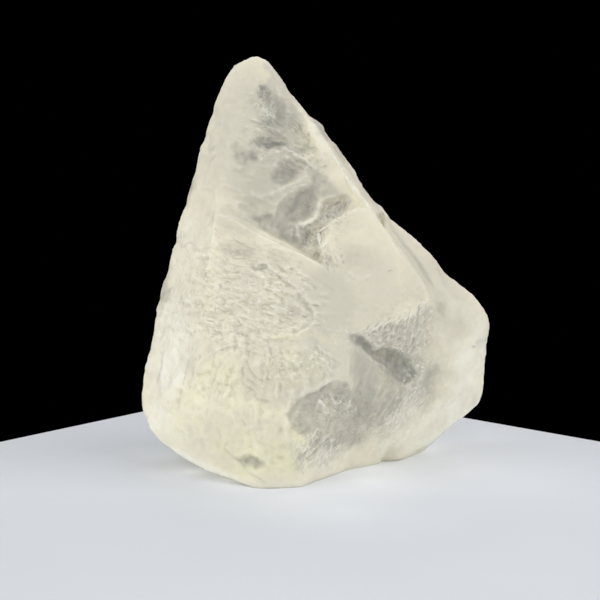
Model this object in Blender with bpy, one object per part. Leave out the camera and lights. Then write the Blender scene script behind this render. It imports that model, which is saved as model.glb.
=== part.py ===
"""A calcite crystal point: one broken, milky crystal that stands on a flat cleavage face.

The crystal is one piece. Its main forms are convex blocks whose corners are given in millimetres. They
are joined and cut to one closed solid, whose long edges are then split and whose surface is weathered.
X runs to the right, Y away from the viewer and Z up. The origin is under the middle of the crystal's box,
on the surface that it stands on.
"""

import math

import bmesh
import bpy
from mathutils import Matrix, Vector, noise

NODE = "calcite_crystal"
MM = 0.001
CREAM = (0.66, 0.62, 0.50)
ROUGHNESS = 0.45
REFRACTION = 1.6

LONGEST_STEPS = (12.0, 6.0, 3.4, 2.3)  # edges longer than these are split, in turn
SHORTEST = 0.1  # edges shorter than this are closed
FLAT_ANGLE = math.radians(0.5)
BASE_SNAP = 0.3  # what lies this near the surface below is part of the flat base

# The tall point, from the blunt tip to the base.
TIP = [
    (-4.9, 1.0, 50.1), (-6.0, 1.2, 50.0), (-8.0, 1.6, 49.1), (-9.0, 2.2, 47.6), (-3.8, 0.6, 49.6),
    (-2.9, 0.5, 48.0), (-5.2, 3.0, 49.0),
]
LEFT_EDGE = [
    (-9.8, 2.5, 45.2), (-11.8, 3.0, 38.9), (-12.9, 3.0, 36.4), (-14.0, 3.0, 33.1), (-14.65, 3.0, 30.2),
    (-15.1, 3.0, 27.5), (-15.95, 3.0, 21.3), (-17.5, 2.5, 16.4), (-19.2, 2.0, 11.2), (-19.4, 1.5, 8.1),
    (-19.2, 0.8, 6.4),
]
LEFT_UNDERCUT = [
    (-18.3, -1.0, 5.2), (-17.0, -3.0, 3.8), (-15.1, -5.0, 2.7), (-13.2, -7.0, 1.8),
    (-10.7, -9.0, 1.1), (-7.1, -11.0, 0.4),
]
LEFT_FRONT_EDGE = [(-7.5, -1.0, 44.0), (-10.2, -4.2, 32.0), (-11.6, -7.0, 20.0), (-12.4, -8.8, 9.0)]
RIB = [(-2.1, -0.8, 45.8), (1.8, -1.8, 41.4), (5.2, -3.0, 35.5), (8.9, -3.8, 31.7)]
RIGHT_EDGE = [(1.0, 1.5, 41.3), (5.1, 2.0, 36.6), (10.1, 2.6, 31.1)]
FRONT_FOOT = [
    (-4.6, -12.4, 0.0), (-3.0, -12.6, 0.0), (0.2, -11.8, 0.0), (-5.0, -12.2, 4.0), (-1.5, -12.4, 4.0),
]
BACK_CORNERS = [
    (-8.8, 4.2, 44.0), (-4.5, 5.2, 44.0), (-1.2, 3.6, 43.4),
    (-11.2, 8.4, 30.0), (-2.5, 11.6, 30.0), (8.0, 8.6, 30.0),
    (-15.8, 9.0, 12.0), (-13.6, 8.2, 3.0), (-3.0, 15.2, 13.0), (6.0, 14.4, 16.0),
]
BASE_CORNERS = [(-10.5, -3.0, 0.0), (-11.5, 5.0, 0.0), (-8.0, 11.0, 0.0), (2.0, 13.6, 0.0), (5.0, 3.0, 0.0)]
POINT = (
    TIP + LEFT_EDGE + LEFT_UNDERCUT + LEFT_FRONT_EDGE + RIB + RIGHT_EDGE + FRONT_FOOT
    + BACK_CORNERS + BASE_CORNERS
)

# The flank: the crystal's wide right shoulder.
FLANK = [
    (10.2, 2.0, 31.0), (12.6, 3.0, 29.2), (14.4, 3.3, 27.8), (15.6, 3.5, 26.5), (19.9, 4.4, 21.6),
    (21.7, 4.6, 20.5), (22.4, 4.8, 19.4), (22.9, 4.9, 18.5), (23.5, 5.0, 17.3), (23.2, 5.0, 15.6),
    (22.6, 6.0, 10.7), (22.7, 6.6, 7.4), (22.2, 6.8, 6.0), (21.3, 6.6, 5.2), (17.8, 6.2, 2.4),
    (15.6, 4.4, 1.5), (13.6, 2.8, 0.8), (11.8, 1.7, 0.4), (9.6, 1.4, 0.5),
    (10.4, -1.8, 29.4), (12.4, -3.4, 25.8), (16.4, -3.8, 19.6), (16.4, -2.4, 13.0), (12.6, -2.4, 8.0),
    (11.6, -1.0, 4.0), (9.0, 9.0, 28.0), (16.0, 12.6, 15.0), (20.6, 11.0, 14.0), (20.0, 11.4, 7.0),
    (15.0, 13.0, 3.0),
    (10.4, 2.2, 0.0), (13.4, 4.2, 0.0), (15.8, 8.6, 0.0), (12.0, 13.0, 0.0), (2.0, 13.4, 0.0),
    (0.0, 0.0, 20.0), (0.0, 4.0, 0.0),
]
# What broke away between the front foot and the flank.
VALLEY = [
    (-1.8, -16.0, -1.0), (-1.8, -16.0, 8.6), (0.4, -16.0, 17.6), (16.0, -16.0, 17.6), (16.0, -16.0, -1.0),
    (-1.3, -11.9, 9.0), (3.9, -9.7, 12.2), (5.9, -8.7, 12.7), (0.2, -11.6, 1.6), (0.6, -11.2, -1.0),
    (5.7, -8.2, 17.6), (12.8, -4.4, 17.6), (12.9, -3.7, 12.0), (16.0, -5.4, 14.0),
    (6.2, -7.5, 10.0), (6.0, -5.8, 4.0), (6.0, -2.0, -1.0), (9.8, 0.8, -1.0),
    (12.0, -2.4, 6.0), (16.0, -4.0, 8.0),
]
# The foot's right side, a flat facet between the foot's ridge and the leaf.
FOOT_SIDE = [
    (-1.3, -11.9, 9.0), (3.9, -9.7, 12.2), (6.0, -8.5, 12.8), (-0.4, -12.1, 1.6), (-0.2, -11.9, 0.0),
    (6.2, -6.9, 9.0), (6.2, -5.0, 3.6), (6.6, -1.8, 0.0),
    (-1.0, 0.0, 9.0), (6.6, 0.0, 12.4), (6.6, 2.0, 0.0), (0.0, 2.0, 0.0),
]
# A cleavage leaf that fills the valley. Its upper edge runs down to the right, below the clear hollow.
LEAF = [
    (4.8, -8.0, 18.2), (5.4, -8.1, 17.0), (6.2, -7.8, 16.7), (12.8, -4.2, 11.6), (13.3, -3.4, 10.6),
    (12.2, -2.5, 6.5), (10.8, -1.4, 3.6), (9.6, 0.6, 0.0), (6.2, -2.4, 0.0), (5.8, -5.4, 4.0),
    (5.6, -7.3, 10.0), (4.8, 2.0, 18.0), (12.8, 0.5, 11.4), (6.0, 3.0, 0.0), (10.0, 3.0, 0.0),
]
# The clear hollow's bottom, a sloping facet a little way behind the leaf's upper edge.
HOLLOW = [
    (4.4, -7.9, 16.4), (12.8, -3.0, 11.4), (13.8, -2.6, 11.0), (7.4, -6.8, 17.6), (11.4, -4.8, 17.6),
    (14.8, -3.6, 17.0), (15.0, -3.0, 14.0), (5.0, 0.0, 16.4), (13.0, 1.0, 11.0), (14.0, 1.0, 16.0),
    (3.0, -7.6, 18.4), (3.0, -6.6, 20.0), (8.4, -5.8, 20.0),
    (3.0, 1.0, 17.0), (3.0, 1.0, 20.0), (8.4, 1.0, 20.0),
]
# The recessed upper face. Along the bright rib it ends at a small step.
RECESS = [
    (-3.0, -1.0, 46.0), (-0.6, -0.7, 45.0), (2.0, -1.0, 41.8), (5.0, -2.2, 36.4), (7.3, -3.0, 32.6),
    (2.4, -4.8, 26.0), (-10.4, -4.6, 31.4), (-7.4, -1.7, 42.6),
    (-3.0, -16.0, 46.0), (-0.5, -16.0, 45.0), (2.4, -16.0, 41.8), (5.4, -16.0, 36.4), (7.6, -16.0, 32.6),
    (2.4, -16.0, 26.0), (-10.4, -16.0, 31.4), (-7.4, -16.0, 42.6),
]
# The lower left plate stands proud of the front: its straight upper edge is a cleavage step.
LEFT_PLATE = [
    (-10.6, -4.4, 31.9), (-8.0, -5.2, 31.2), (-3.2, -6.3, 28.7), (0.2, -6.9, 27.3), (2.6, -7.1, 25.9),
    (5.4, -7.1, 23.9), (-9.6, -2.0, 31.4), (5.3, -4.0, 23.9), (-10.9, -5.9, 26.0), (-12.0, -7.9, 16.0),
    (5.6, -8.5, 17.4), (5.9, -8.6, 12.7), (3.9, -9.8, 12.2), (-1.3, -12.1, 9.0), (-12.3, -8.7, 9.0),
    (-5.0, -12.3, 2.0), (-1.5, -12.5, 2.0), (-2.0, -5.0, 6.0), (-10.0, -5.0, 8.0),
]
# The right plate, above the clear hollow.
RIGHT_PLATE = [
    (1.7, -5.7, 29.7), (4.2, -5.6, 30.9), (6.8, -4.9, 32.6), (8.7, -4.3, 32.3), (9.9, -4.0, 30.0),
    (12.2, -4.2, 27.1), (14.4, -4.6, 23.9), (15.9, -4.9, 20.8), (16.0, -4.8, 19.8),
    (5.0, -8.4, 16.8), (7.9, -7.9, 18.1), (12.0, -6.6, 19.0), (3.0, -7.0, 25.6), (5.3, -7.2, 23.4),
    (7.2, -5.4, 16.2), (10.9, -2.9, 15.3), (14.2, -3.3, 14.9),
    (4.0, 1.0, 27.0), (6.0, 1.0, 18.6), (10.0, 2.0, 20.0), (12.0, 3.0, 26.0),
]
# A thin rim behind the rib, which makes the small steps of the right outline.
RIM = [
    (0.5, 0.6, 43.2), (1.8, 0.5, 42.6), (2.5, 0.7, 41.7), (4.1, 1.2, 39.5), (5.9, 1.5, 37.6),
    (6.6, 1.6, 36.6), (7.1, 1.7, 35.6), (0.4, 2.4, 43.0), (2.2, 2.8, 41.6), (5.0, 3.6, 37.0),
    (6.4, 3.6, 35.2), (0.0, 3.0, 40.0), (4.0, 4.0, 33.0),
]
# The blocks that are joined to the point or cut from it, in turn, and then the plates that are joined.
BLOCKS = (("UNION", FLANK), ("UNION", RIM), ("DIFFERENCE", RECESS), ("DIFFERENCE", VALLEY))
PLATES = (FOOT_SIDE, LEAF, HOLLOW, LEFT_PLATE, RIGHT_PLATE)

# Shell-shaped bites. Each has the start and the direction of a ray, whose first meeting with the solid is
# the bite's middle, then the bite's two radii, its depth and the turn of its longer side about the ray.
FRONT = (0.0, 1.0, 0.0)
LEFT = (1.0, 0.3, 0.0)
BACK = (0.0, -1.0, 0.0)
RIGHT = (-1.0, 0.4, 0.0)
# Those of the upper face run under the plates, whose edges stay whole.
UPPER_BITES = [
    ((-3.2, -40.0, 43.4), FRONT, 2.0, 1.2, 0.35, -70),
    ((-1.2, -40.0, 35.8), FRONT, 2.8, 1.8, 0.45, 30),
    ((0.8, -40.0, 30.8), FRONT, 4.0, 2.6, 0.6, 40),
    ((5.0, -40.0, 32.0), FRONT, 2.0, 1.3, 0.35, 20),
]
BITES = [
    ((-0.6, -40.0, 20.4), FRONT, 3.6, 2.8, 0.3, 10),
    ((-6.5, -40.0, 6.4), FRONT, 4.4, 2.2, 0.35, -30),
    ((-40.0, -8.5, 33.0), LEFT, 4.4, 2.4, 0.4, 70),
    ((-40.0, -10.0, 17.0), LEFT, 6.0, 3.2, 0.5, 80),
    ((-40.0, -6.0, 24.0), LEFT, 3.6, 2.2, 0.35, 40),
    ((-40.0, -7.0, 9.0), LEFT, 3.8, 2.4, 0.4, 110),
    ((40.0, -5.0, 22.6), RIGHT, 4.4, 3.0, 1.3, 40),
    ((40.0, -10.0, 10.0), RIGHT, 5.4, 3.4, 0.6, 70),
    ((-3.0, 40.0, 37.0), BACK, 4.6, 2.8, 0.7, 60),
    ((-1.0, 40.0, 33.0), BACK, 3.4, 2.2, 0.5, 10),
    ((-8.0, 40.0, 22.0), BACK, 7.4, 4.6, 1.1, 50),
    ((-9.0, 40.0, 15.0), BACK, 4.8, 3.0, 0.8, -20),
    ((5.0, 40.0, 26.0), BACK, 6.0, 3.8, 1.0, -40),
    ((11.0, 40.0, 14.0), BACK, 7.0, 4.2, 1.1, 25),
    ((14.0, 40.0, 9.0), BACK, 4.4, 3.0, 0.7, -50),
    ((-5.0, 40.0, 7.0), BACK, 6.4, 3.8, 1.0, -15),
    ((3.0, 40.0, 16.0), BACK, 5.0, 3.4, 0.8, 75),
]
BITE_SUBDIVISIONS = 4
RIM_WAVE = 0.2  # how far a bite's ball wavers, as a share of the bite's depth

# Weathering: the wavelength and height of each noise that moves the surface, and the noise's offset.
LUMPS = ((9.0, 0.5, 11.3), (4.2, 0.24, 27.1))


def hull(name, corners):
    """A convex block round these corners, as an object."""
    bm = bmesh.new()
    for corner in corners:
        bm.verts.new(Vector(corner))
    made = bmesh.ops.convex_hull(bm, input=bm.verts)
    inside = {corner for corner in made["geom_interior"] if isinstance(corner, bmesh.types.BMVert)}
    bmesh.ops.delete(bm, geom=list(inside), context="VERTS")
    bmesh.ops.recalc_face_normals(bm, faces=bm.faces)
    mesh = bpy.data.meshes.new(name)
    bm.to_mesh(mesh)
    bm.free()
    obj = bpy.data.objects.new(name, mesh)
    bpy.context.scene.collection.objects.link(obj)
    return obj


def combine(base, other, operation):
    """Joins other to base, or cuts it away, and removes other."""
    step = base.modifiers.new(operation.lower(), "BOOLEAN")
    step.operation = operation
    step.object = other
    graph = bpy.context.evaluated_depsgraph_get()
    mesh = bpy.data.meshes.new_from_object(base.evaluated_get(graph))
    base.modifiers.clear()
    base.data = mesh
    bpy.data.objects.remove(other)


def bite(crystal, start, direction, long_radius, short_radius, depth, turn):
    """Takes a shallow, uneven bite out of the crystal where a ray first meets it."""
    graph = bpy.context.evaluated_depsgraph_get()
    target = crystal.evaluated_get(graph)
    _, place, normal, _ = target.ray_cast(Vector(start), Vector(direction).normalized())
    ball_radius = (long_radius**2 + depth**2) / (2 * depth)
    squeeze = Matrix.Diagonal((1.0, short_radius / long_radius, 1.0, 1.0))
    facing = normal.to_track_quat("Z", "Y").to_matrix().to_4x4()
    where = Matrix.Translation(place) @ facing @ Matrix.Rotation(math.radians(turn), 4, "Z") @ squeeze
    bm = bmesh.new()
    bmesh.ops.create_icosphere(bm, subdivisions=BITE_SUBDIVISIONS, radius=ball_radius)
    for corner in bm.verts:
        outward = corner.co.normalized()
        wave = noise.noise(corner.co / short_radius + place)
        corner.co += outward * wave * RIM_WAVE * depth
    bmesh.ops.translate(bm, verts=bm.verts, vec=(0.0, 0.0, ball_radius - depth))
    bmesh.ops.transform(bm, verts=bm.verts, matrix=where)
    mesh = bpy.data.meshes.new("bite")
    bm.to_mesh(mesh)
    bm.free()
    ball = bpy.data.objects.new("bite", mesh)
    bpy.context.scene.collection.objects.link(ball)
    combine(crystal, ball, "DIFFERENCE")


def even_mesh(crystal):
    """Splits the solid's long edges, and turns edges inside its flat faces, until the mesh is even."""
    bm = bmesh.new()
    bm.from_mesh(crystal.data)
    bmesh.ops.triangulate(bm, faces=bm.faces)
    bmesh.ops.dissolve_degenerate(bm, edges=bm.edges, dist=SHORTEST)
    for target in LONGEST_STEPS:
        long_edges = [edge for edge in bm.edges if edge.calc_length() > target]
        bmesh.ops.subdivide_edges(bm, edges=long_edges, cuts=1)
        bmesh.ops.triangulate(bm, faces=bm.faces)
        flat = [edge for edge in bm.edges if edge.is_manifold and edge.calc_face_angle() < FLAT_ANGLE]
        bmesh.ops.beautify_fill(bm, faces=bm.faces, edges=flat, method="AREA")
    bm.to_mesh(crystal.data)
    bm.free()


def weather(crystal):
    """Moves the surface in and out by noise, and leaves the base flat."""
    mesh = crystal.data
    normals = [vertex.normal.copy() for vertex in mesh.vertices]
    for vertex, normal in zip(mesh.vertices, normals):
        place = vertex.co.copy()
        shift = 0.0
        for wavelength, height, offset in LUMPS:
            shift += height * noise.noise(place / wavelength + Vector((offset, offset, offset)))
        vertex.co = place + normal * shift
        if place.z < BASE_SNAP:
            vertex.co.z = 0.0
        vertex.co.z = max(vertex.co.z, 0.0)


def settle(crystal):
    """Turns millimetres into metres, with the origin under the middle of the crystal's box."""
    mesh = crystal.data
    places = [vertex.co for vertex in mesh.vertices]
    middle_x = (min(place.x for place in places) + max(place.x for place in places)) / 2
    middle_y = (min(place.y for place in places) + max(place.y for place in places)) / 2
    mesh.transform(Matrix.Scale(MM, 4) @ Matrix.Translation((-middle_x, -middle_y, 0.0)))


def calcite():
    """Milky, faintly yellow calcite."""
    material = bpy.data.materials.new("calcite")
    material.use_nodes = True
    shader = material.node_tree.nodes["Principled BSDF"]
    shader.inputs["Base Color"].default_value = (*CREAM, 1.0)
    shader.inputs["Roughness"].default_value = ROUGHNESS
    shader.inputs["Metallic"].default_value = 0.0
    shader.inputs["IOR"].default_value = REFRACTION
    return material


def build():
    for old in list(bpy.data.objects):
        bpy.data.objects.remove(old)
    crystal = hull(NODE, POINT)
    for operation, corners in BLOCKS:
        combine(crystal, hull("block", corners), operation)
    for values in UPPER_BITES:
        bite(crystal, *values)
    for corners in PLATES:
        combine(crystal, hull("plate", corners), "UNION")
    for values in BITES:
        bite(crystal, *values)
    even_mesh(crystal)
    weather(crystal)
    settle(crystal)
    crystal.name = NODE
    crystal.data.name = NODE
    crystal.data.materials.append(calcite())


build()
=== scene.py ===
"""The looks of a calcite crystal point: a fine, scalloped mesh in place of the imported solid, and milky stone.

Sizes are in metres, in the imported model's frame. Lengths that are easier to read in millimetres are
written as a number times MM. Marks on the front are placed by points of the photograph, in pixels of its
600 by 600 frame, which are cast through the camera onto the crystal.
"""

import math
import random

import bmesh
import bpy
import numpy as np
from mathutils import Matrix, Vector, noise


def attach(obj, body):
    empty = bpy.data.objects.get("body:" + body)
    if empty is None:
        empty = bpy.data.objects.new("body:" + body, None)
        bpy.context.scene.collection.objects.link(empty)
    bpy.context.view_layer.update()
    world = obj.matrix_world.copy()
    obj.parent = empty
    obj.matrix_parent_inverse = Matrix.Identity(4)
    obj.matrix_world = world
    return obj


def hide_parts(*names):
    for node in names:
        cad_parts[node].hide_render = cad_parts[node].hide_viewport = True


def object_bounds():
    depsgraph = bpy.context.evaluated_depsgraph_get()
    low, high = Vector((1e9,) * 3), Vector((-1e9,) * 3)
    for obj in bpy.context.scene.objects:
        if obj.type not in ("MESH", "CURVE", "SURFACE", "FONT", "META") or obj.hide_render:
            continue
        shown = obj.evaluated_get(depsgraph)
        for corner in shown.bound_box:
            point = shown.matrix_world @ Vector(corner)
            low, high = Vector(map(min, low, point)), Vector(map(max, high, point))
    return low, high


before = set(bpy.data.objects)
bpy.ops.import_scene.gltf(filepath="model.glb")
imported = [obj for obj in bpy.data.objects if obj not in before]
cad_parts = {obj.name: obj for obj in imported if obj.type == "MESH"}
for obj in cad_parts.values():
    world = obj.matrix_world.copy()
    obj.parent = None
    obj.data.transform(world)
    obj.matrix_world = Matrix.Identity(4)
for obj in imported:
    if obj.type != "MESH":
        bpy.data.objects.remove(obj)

MM = 0.001
CAD_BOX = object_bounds()
CRYSTAL = "calcite_crystal"

# The photograph's camera: 9 degrees above level, from the front, with a long lens.
PHOTO_SIZE = 600
SENSOR_MM = 36.0
LENS_MM = 144.0
CAMERA_ELEVATION = math.radians(9.0)
CAMERA_AIM = Vector((-2.05 * MM, -1.1 * MM, 20.52 * MM))
CAMERA_BACK = Vector((0, -math.cos(CAMERA_ELEVATION), math.sin(CAMERA_ELEVATION)))
CAMERA_UP = Vector((0, math.sin(CAMERA_ELEVATION), math.cos(CAMERA_ELEVATION)))
CAMERA_DISTANCE = 292 * MM
CAMERA_PLACE = CAMERA_AIM + CAMERA_DISTANCE * CAMERA_BACK
CLIP_START = 10 * MM

# The mesh is carved at this voxel size and then thinned to this many triangles. What faces away from the
# photograph gives up this share of its own first.
JOINED_WITHIN = 0.0005 * MM
VOXEL = 0.14 * MM
TRIANGLES = 198000
THINNED_AWAY = 0.5
# What faces the camera by the second share is the front, and by less than the first isn't.
FACING = (0.05, 0.3)
# What lies lower than this before the carving ends up flat on the floor.
FLAT_BASE = 0.12 * MM

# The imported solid's edges are rounded by this many smoothing steps. They stay sharp up to the base height,
# and by these shares away from the front and at the tip.
ROUNDING = 70
SOFTENING = 2
SHARP_AWAY = 0.5
SHARP_BASE = 1.0 * MM
SHARP_TIP = 0.9
TIP_HEIGHTS = (46 * MM, 48.5 * MM)
# They also stay sharp along these lines of the photo. Each has its points, how sharp it stays, a half width
# in pixels and how sharp its ends stay.
SHARP_LINES = [
    ([(207, 211), (233, 217), (256, 228), (273, 238), (291, 246), (312, 258), (322, 264)], 1.0, 6, 0.3),
    ([(316, 233), (322, 229), (335, 221), (357, 206), (376, 201)], 0.9, 6, 0.3),
    ([(366, 202), (376, 206), (383, 227), (402, 251), (420, 278), (433, 303)], 0.9, 6, 0.9),
    ([(349, 334), (367, 328), (390, 325), (411, 314), (430, 298)], 0.7, 6, 0.3),
    ([(347, 336), (371, 356), (386, 366), (406, 382)], 0.4, 6, 0.3),
    ([(308, 112), (321, 136), (333, 148), (344, 163), (350, 177), (362, 194), (378, 210)], 0.9, 7, 0.9),
    ([(301, 399), (318, 390), (334, 381)], 0.5, 5, 0.3),
]
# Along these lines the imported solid's edges melt away: the points, and the half widths at the two ends.
MELTING = 900
MELTED_LINES = [
    ([(240, 70), (229, 115), (220, 165), (212, 211), (200, 300), (198, 404), (207, 460)], 9, 26),
    ([(266, 103), (252, 124), (229, 211)], 9, 14),
    ([(345, 280), (347, 340), (353, 378)], 8, 8),
    ([(289, 385), (286, 440), (282, 478)], 14, 14),
    ([(313, 240), (319, 252), (326, 264), (345, 282)], 7, 9),
]

# Lines, patches and marks stray from their places by a noise of this wavelength, and by about so many
# pixels, for which a line's reach has a margin. An oval fades out between these shares of its size.
WARP_WAVE = 2.2 * MM
PATCH_WARP = 3
MARK_WARP = 5
MARGIN = 6
OVAL_EDGE = (0.55, 1.35)

# Lines and patches that are both carved and painted.
FORKED_CRACK = [
    (240, 359), (245, 373), (242, 380), (246, 386), (254, 392), (257, 398), (266, 400), (272, 403),
]
UPPER_BRANCH = [(246, 360), (251, 369), (258, 378), (264, 380)]
LOWER_BRANCH = [(247, 377), (253, 384), (256, 391)]
LEFT_SEAM = [(190, 358), (185, 377), (180, 396), (178, 413)]
OUTER_SEAM = [(164, 350), (161, 368), (157, 386)]
SHEET = [(262, 350), (330, 348), (338, 372), (300, 384), (262, 378)]

# Hollows scooped out of the front, each with its middle and half widths in pixels, its turn in degrees and
# its depth in millimetres. Where two meet they leave a crest.
SCOOPS = [
    ((288, 171), (22, 13), -22, 0.50),
    ((296, 208), (30, 17), -42, 0.60),
    ((333, 207), (20, 12), -25, 0.45),
    ((318, 236), (16, 11), -40, 0.45),
    ((262, 212), (26, 13), 25, 0.25),
    ((270, 140), (20, 11), 15, 0.35),
    ((243, 160), (16, 15), 0, 0.20),
    ((277, 108), (11, 20), -22, 0.30),
    ((303, 135), (12, 26), -30, 0.20),
    ((318, 172), (11, 20), -35, 0.22),
    ((294, 311), (21, 19), 20, 0.35),
    ((243, 253), (28, 13), 12, 0.22),
    ((280, 262), (20, 10), 35, 0.22),
    ((357, 262), (19, 19), 0, 0.25),
    ((234, 385), (26, 36), 10, 0.30),
    ((282, 372), (28, 26), -20, 0.25),
    ((211, 372), (16, 34), 12, 0.20),
    ((251, 463), (18, 9), 15, 0.35),
    ((321, 415), (34, 28), -20, 0.30),
    ((430, 378), (10, 20), 20, 0.30),
    ((441, 312), (14, 24), 10, 0.25),
    ((388, 361), (22, 10), 36, 0.15),
    ((372, 400), (22, 34), 15, 0.25),
]

# Ledges on the front: points of the photo, a drop in millimetres and a width in pixels. The surface drops
# to the right of one who walks along the line, and comes back over the width. A lip stands up along it by a
# share of the drop.
LIP_HEIGHT = 0.2
LIP_WIDTH = 1.6
LEDGES = [
    ([(279, 147), (292, 153), (302, 159), (312, 168), (326, 177)], 0.16, 12),
    ([(255, 264), (267, 265), (279, 275), (289, 283), (298, 289)], 0.20, 10),
    ([(296, 292), (307, 302), (314, 315), (312, 324), (300, 332)], 0.18, 12),
    ([(250, 264), (258, 270), (267, 266)], 0.20, 6),
    ([(350, 272), (358, 279), (370, 277)], 0.12, 8),
    ([(315, 344), (330, 356), (343, 366)], 0.14, 12),
    ([(208, 357), (220, 350), (236, 348), (256, 353), (263, 359)], 0.12, 12),
    (FORKED_CRACK, 0.13, 7),
    (UPPER_BRANCH, 0.14, 6),
    (LOWER_BRANCH, 0.12, 5),
    ([(211, 377), (218, 382), (230, 385), (234, 391)], 0.12, 7),
    ([(216, 431), (221, 436), (218, 444), (220, 449)], 0.12, 6),
    ([(241, 417), (247, 427), (249, 436)], 0.10, 6),
    ([(214, 333), (228, 330), (245, 334), (258, 336)], 0.10, 7),
    ([(234, 438), (226, 446), (232, 455), (239, 461), (246, 470), (258, 478), (266, 484)], 0.10, 10),
    ([(262, 360), (276, 356), (290, 362), (300, 372)], 0.12, 8),
    ([(271, 328), (284, 333), (297, 334), (309, 326)], -0.14, 9),
    ([(301, 399), (318, 390), (334, 381)], 0.14, 12),
    ([(203, 352), (196, 370), (190, 392)], 0.14, 8),
    (OUTER_SEAM, 0.15, 6),
    (LEFT_SEAM, 0.16, 8),
]
# Waves cover the crystal. Each has a height and a wavelength in millimetres, and a seed.
WEATHERING = [
    (0.12, 5.0, 8.1),
    (0.05, 1.9, 19.7),
    (0.03, 0.7, 31.9),
    (0.012, 0.35, 11.9),
]
# So do crests and fine wrinkles, this high where they are strongest. Ovals of the photo, with a turn in
# degrees and a strength, are the most wrinkled.
CRESTS = 0.08 * MM
WRINKLES = 0.045 * MM
CREST_SHAPE = 2.4
WRINKLED_OVALS = [
    ((235, 300), (70, 70), 10, 1.0),
    ((172, 290), (30, 80), 12, 0.6),
    ((250, 372), (90, 34), 10, 0.55),
    ((236, 420), (90, 44), 10, 0.25),
    ((400, 410), (60, 40), -20, 0.5),
    ((280, 140), (30, 60), -30, 0.9),
    ((320, 225), (30, 26), -20, 1.0),
    ((405, 345), (34, 50), 10, 1.0),
    ((340, 420), (50, 36), -20, 0.9),
]
# The finest wrinkles run across, and downwards in these ovals.
STEEP_OVALS = [
    ((160, 300), (30, 130), 12, 1.0),
    ((215, 405), (70, 60), 5, 1.0),
    ((410, 370), (40, 70), 10, 1.0),
]
# Thin raised lines on the front: points, a height in millimetres and a half width in pixels.
RIDGES = [
    ([(281, 149), (292, 153), (304, 161), (316, 171)], 0.10, 1.8),
    ([(254, 187), (263, 195), (272, 192), (284, 188), (295, 181), (304, 171)], 0.10, 2.6),
    ([(296, 224), (306, 223), (314, 218), (318, 210), (319, 201)], 0.16, 2.4),
    ([(295, 225), (297, 232), (293, 239)], 0.10, 2.0),
    ([(321, 201), (328, 197), (338, 195)], 0.08, 1.6),
    ([(349, 270), (354, 277), (362, 280), (370, 276)], 0.06, 1.4),
    ([(316, 346), (328, 355), (342, 366)], 0.05, 2.4),
]
# Grained patches on the front: corners, the way the grain runs in degrees from rightwards towards down,
# how far apart and how long the crests are in pixels, and their height in millimetres.
GRAIN_EDGE = 7
GRAIN_MARGIN = 8
GRAIN_SPOTS = (11, 9)
GRAINS = [
    ([(366, 327), (385, 322), (400, 318), (402, 334), (392, 347), (378, 351), (368, 343)], 128, 3.0, 7, 0.28),
    ([(398, 318), (425, 301), (430, 305), (424, 330), (418, 354), (400, 350)], 108, 3.2, 13, 0.12),
    ([(402, 366), (424, 350), (430, 372), (420, 392), (402, 392)], 125, 3.0, 8, 0.08),
    ([(356, 350), (384, 366), (404, 382), (398, 408), (380, 432), (356, 420), (350, 380)],
      108, 2.6, 30, 0.04),
    ([(376, 398), (402, 392), (402, 424), (374, 434)], 122, 2.8, 14, 0.07),
    ([(297, 428), (352, 440), (340, 470), (290, 475)], 142, 3.0, 16, 0.07),
    ([(425, 285), (475, 300), (478, 345), (430, 345)], 95, 5.0, 30, 0.03),
    ([(165, 300), (205, 235), (230, 330), (225, 400), (160, 405)], 98, 3.2, 9, 0.05),
    ([(296, 224), (320, 226), (345, 258), (330, 275), (305, 252)], 70, 2.6, 6, 0.13),
    ([(286, 118), (305, 118), (332, 170), (320, 176), (292, 152)], 55, 3.0, 5, 0.10),
    ([(255, 84), (276, 84), (292, 112), (288, 136), (262, 136), (252, 110)], 50, 3.0, 5, 0.09),
    ([(322, 203), (346, 202), (346, 216), (320, 226)], 120, 2.6, 6, 0.15),
    ([(296, 196), (318, 196), (316, 216), (290, 214)], 100, 2.8, 5, 0.07),
    ([(205, 268), (300, 262), (330, 330), (260, 350), (205, 330)], 12, 2.8, 8, 0.10),
    ([(290, 285), (322, 285), (318, 308), (296, 300)], 18, 2.8, 6, 0.10),
    (SHEET, 65, 2.8, 5, 0.07),
    ([(222, 318), (300, 326), (300, 352), (222, 352)], 20, 3.0, 7, 0.07),
    ([(205, 345), (330, 375), (290, 470), (200, 440)], 80, 5.0, 16, 0.03),
    ([(160, 330), (300, 335), (330, 385), (285, 475), (190, 450), (150, 400)], 96, 9.0, 24, 0.12),
    ([(185, 240), (300, 262), (330, 300), (320, 350), (180, 340)], 24, 8.0, 22, 0.10),
    ([(230, 110), (300, 130), (330, 180), (290, 215), (215, 205)], 30, 8.0, 22, 0.08),
    ([(335, 326), (352, 330), (352, 352), (332, 348)], 50, 2.8, 5, 0.08),
    ([(318, 388), (354, 388), (356, 416), (320, 416)], 30, 3.2, 5, 0.12),
]
# Heights in millimetres at which small, broken ledges cross the left side, how far they bulge, how steeply
# they run towards the back, and how far they stray over short and long stretches. The last number brings
# the top of a bulge to 1.
SIDE_LEDGES = (8.6, 11.9, 13.9, 16.4, 18.7, 21.6, 25.2, 27.8, 30.7, 34.3, 37.2, 39.3, 43.0)
SIDE_BULGE = 0.13
SIDE_SLOPE = 0.12
SIDE_WAVER = 1.6
SIDE_SWAY = 1.5
SIDE_SHAPE = 2.6

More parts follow.
